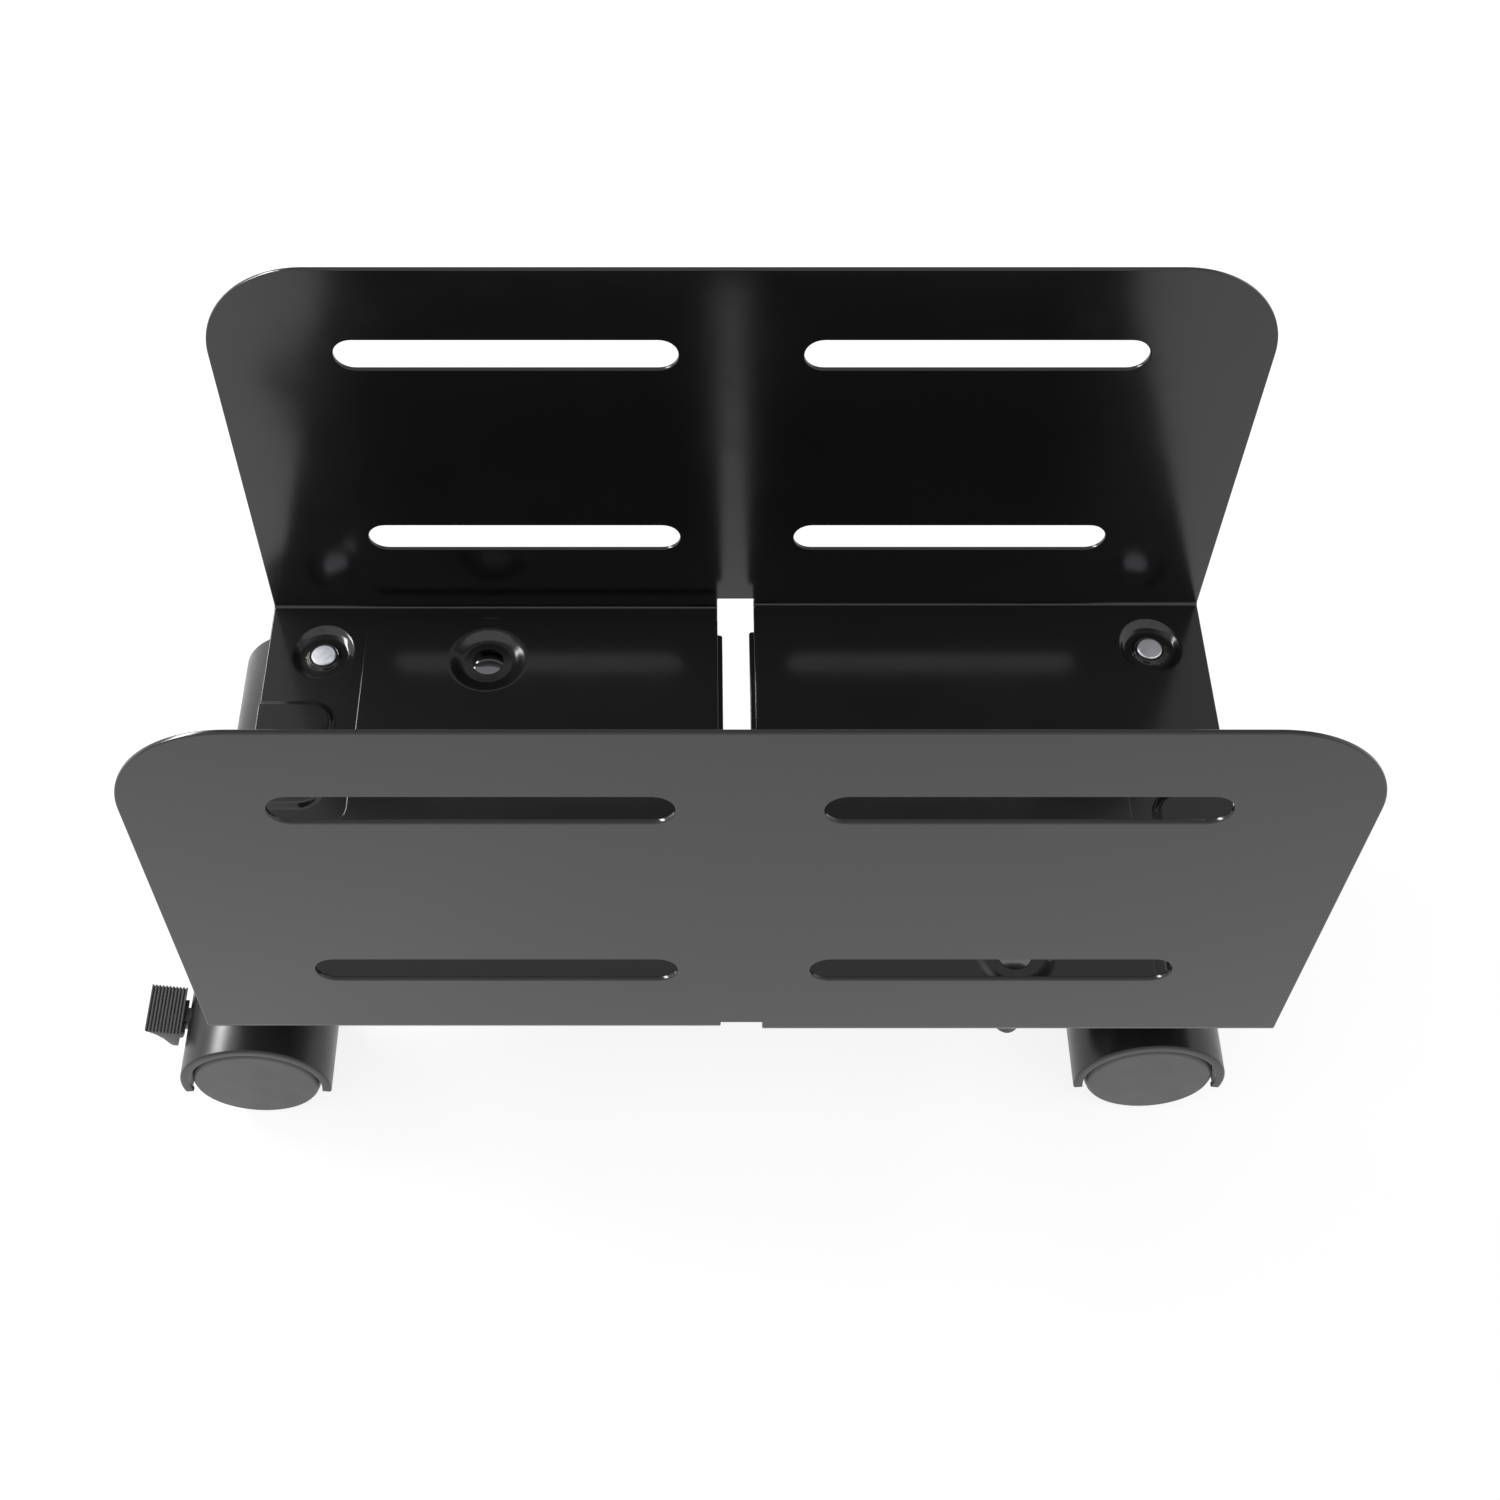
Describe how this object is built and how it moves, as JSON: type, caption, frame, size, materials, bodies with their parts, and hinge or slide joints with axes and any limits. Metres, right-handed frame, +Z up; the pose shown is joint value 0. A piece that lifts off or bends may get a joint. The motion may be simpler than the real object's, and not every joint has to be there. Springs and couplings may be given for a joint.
{
  "type": "rolling computer tower stand",
  "caption": "Rolling stand for a computer tower: two slotted L-shaped steel plates that slide to set the width, clamp knobs, and hooded twin-wheel casters.",
  "frame": {"origin": "on the floor, under the middle of the whole stand's bounding box with the brake pedal included", "axes": "+X along the walls, +Y from the front wall to the rear wall, +Z up"},
  "size_m": [0.3468, 0.1652, 0.2112],
  "materials": {
    "black_powder_coat": "satin black powder coat",
    "black_chrome": "polished black oxide",
    "zinc_steel": "zinc plated",
    "knob_plastic": "moulded, fine texture",
    "hood_plastic": "moulded, semi gloss",
    "wheel_plastic": "moulded nylon",
    "cap_plastic": "moulded, even satin",
    "lever_plastic": "moulded, ribbed"
  },
  "bodies": {
    "front_frame": {"front_plate": "black_powder_coat", "rear_left_clamp_bolt": "black_chrome", "rear_left_clamp_washer": "zinc_steel", "front_left_stem": "zinc_steel", "front_left_swivel_washer": "zinc_steel", "front_right_stem": "zinc_steel", "front_right_swivel_washer": "zinc_steel"},
    "rear_frame": {"rear_plate": "black_powder_coat", "front_right_clamp_bolt": "black_chrome", "front_right_clamp_washer": "zinc_steel", "rear_left_stem": "zinc_steel", "rear_left_swivel_washer": "zinc_steel", "rear_right_stem": "zinc_steel", "rear_right_swivel_washer": "zinc_steel"},
    "rear_left_knob": {"rear_left_clamp_knob": "knob_plastic"},
    "front_right_knob": {"front_right_clamp_knob": "knob_plastic"},
    "front_left_caster": {"front_left_hood": "hood_plastic", "front_left_axle": "zinc_steel", "front_left_lever_pin": "zinc_steel"},
    "front_left_front_wheel": {"front_left_front_wheel": "wheel_plastic", "front_left_front_cap": "cap_plastic"},
    "front_left_rear_wheel": {"front_left_rear_wheel": "wheel_plastic", "front_left_rear_cap": "cap_plastic"},
    "front_left_lever": {"front_left_lever": "lever_plastic"},
    "front_right_caster": {"front_right_hood": "hood_plastic", "front_right_axle": "zinc_steel"},
    "front_right_front_wheel": {"front_right_front_wheel": "wheel_plastic", "front_right_front_cap": "cap_plastic"},
    "front_right_rear_wheel": {"front_right_rear_wheel": "wheel_plastic", "front_right_rear_cap": "cap_plastic"},
    "rear_left_caster": {"rear_left_hood": "hood_plastic", "rear_left_axle": "zinc_steel"},
    "rear_left_front_wheel": {"rear_left_front_wheel": "wheel_plastic", "rear_left_front_cap": "cap_plastic"},
    "rear_left_rear_wheel": {"rear_left_rear_wheel": "wheel_plastic", "rear_left_rear_cap": "cap_plastic"},
    "rear_right_caster": {"rear_right_hood": "hood_plastic", "rear_right_axle": "zinc_steel", "rear_right_lever_pin": "zinc_steel"},
    "rear_right_front_wheel": {"rear_right_front_wheel": "wheel_plastic", "rear_right_front_cap": "cap_plastic"},
    "rear_right_rear_wheel": {"rear_right_rear_wheel": "wheel_plastic", "rear_right_rear_cap": "cap_plastic"},
    "rear_right_lever": {"rear_right_lever": "lever_plastic"}
  },
  "joints": [
    {"name": "width_slide", "type": "slide", "parent": "front_frame", "child": "rear_frame", "axis": [0, 1, 0], "range_m": [-0.005, 0.08]},
    {"name": "rear_left_knob_turn", "type": "hinge", "parent": "front_frame", "child": "rear_left_knob", "pos_m": [-0.07095, 0.05655, 0.04], "axis": [0, 0, 1], "continuous": true},
    {"name": "front_right_knob_turn", "type": "hinge", "parent": "rear_frame", "child": "front_right_knob", "pos_m": [0.09785, -0.05655, 0.04], "axis": [0, 0, 1], "continuous": true},
    {"name": "front_left_swivel", "type": "hinge", "parent": "front_frame", "child": "front_left_caster", "pos_m": [-0.12775, -0.06155, 0.045], "axis": [0, 0, 1], "continuous": true},
    {"name": "front_left_front_wheel_spin", "type": "hinge", "parent": "front_left_caster", "child": "front_left_front_wheel", "pos_m": [-0.13905, -0.06155, 0.02], "axis": [0, 1, 0], "continuous": true},
    {"name": "front_left_rear_wheel_spin", "type": "hinge", "parent": "front_left_caster", "child": "front_left_rear_wheel", "pos_m": [-0.13905, -0.06155, 0.02], "axis": [0, 1, 0], "continuous": true},
    {"name": "front_left_brake", "type": "hinge", "parent": "front_left_caster", "child": "front_left_lever", "pos_m": [-0.15375, -0.06155, 0.023], "axis": [0, -1, 0], "range_deg": [0, 18]},
    {"name": "front_right_swivel", "type": "hinge", "parent": "front_frame", "child": "front_right_caster", "pos_m": [0.15425, -0.06005, 0.045], "axis": [0, 0, 1], "continuous": true},
    {"name": "front_right_front_wheel_spin", "type": "hinge", "parent": "front_right_caster", "child": "front_right_front_wheel", "pos_m": [0.14295, -0.06005, 0.02], "axis": [0, 1, 0], "continuous": true},
    {"name": "front_right_rear_wheel_spin", "type": "hinge", "parent": "front_right_caster", "child": "front_right_rear_wheel", "pos_m": [0.14295, -0.06005, 0.02], "axis": [0, 1, 0], "continuous": true},
    {"name": "rear_left_swivel", "type": "hinge", "parent": "rear_frame", "child": "rear_left_caster", "pos_m": [-0.12735, 0.06005, 0.045], "axis": [0, 0, 1], "continuous": true},
    {"name": "rear_left_front_wheel_spin", "type": "hinge", "parent": "rear_left_caster", "child": "rear_left_front_wheel", "pos_m": [-0.13865, 0.06005, 0.02], "axis": [0, 1, 0], "continuous": true},
    {"name": "rear_left_rear_wheel_spin", "type": "hinge", "parent": "rear_left_caster", "child": "rear_left_rear_wheel", "pos_m": [-0.13865, 0.06005, 0.02], "axis": [0, 1, 0], "continuous": true},
    {"name": "rear_right_swivel", "type": "hinge", "parent": "rear_frame", "child": "rear_right_caster", "pos_m": [0.15465, 0.06155, 0.045], "axis": [0, 0, 1], "continuous": true},
    {"name": "rear_right_front_wheel_spin", "type": "hinge", "parent": "rear_right_caster", "child": "rear_right_front_wheel", "pos_m": [0.14335, 0.06155, 0.02], "axis": [0, 1, 0], "continuous": true},
    {"name": "rear_right_rear_wheel_spin", "type": "hinge", "parent": "rear_right_caster", "child": "rear_right_rear_wheel", "pos_m": [0.14335, 0.06155, 0.02], "axis": [0, 1, 0], "continuous": true},
    {"name": "rear_right_brake", "type": "hinge", "parent": "rear_right_caster", "child": "rear_right_lever", "pos_m": [0.12865, 0.06155, 0.023], "axis": [0, -1, 0], "range_deg": [0, 18]}
  ]
}
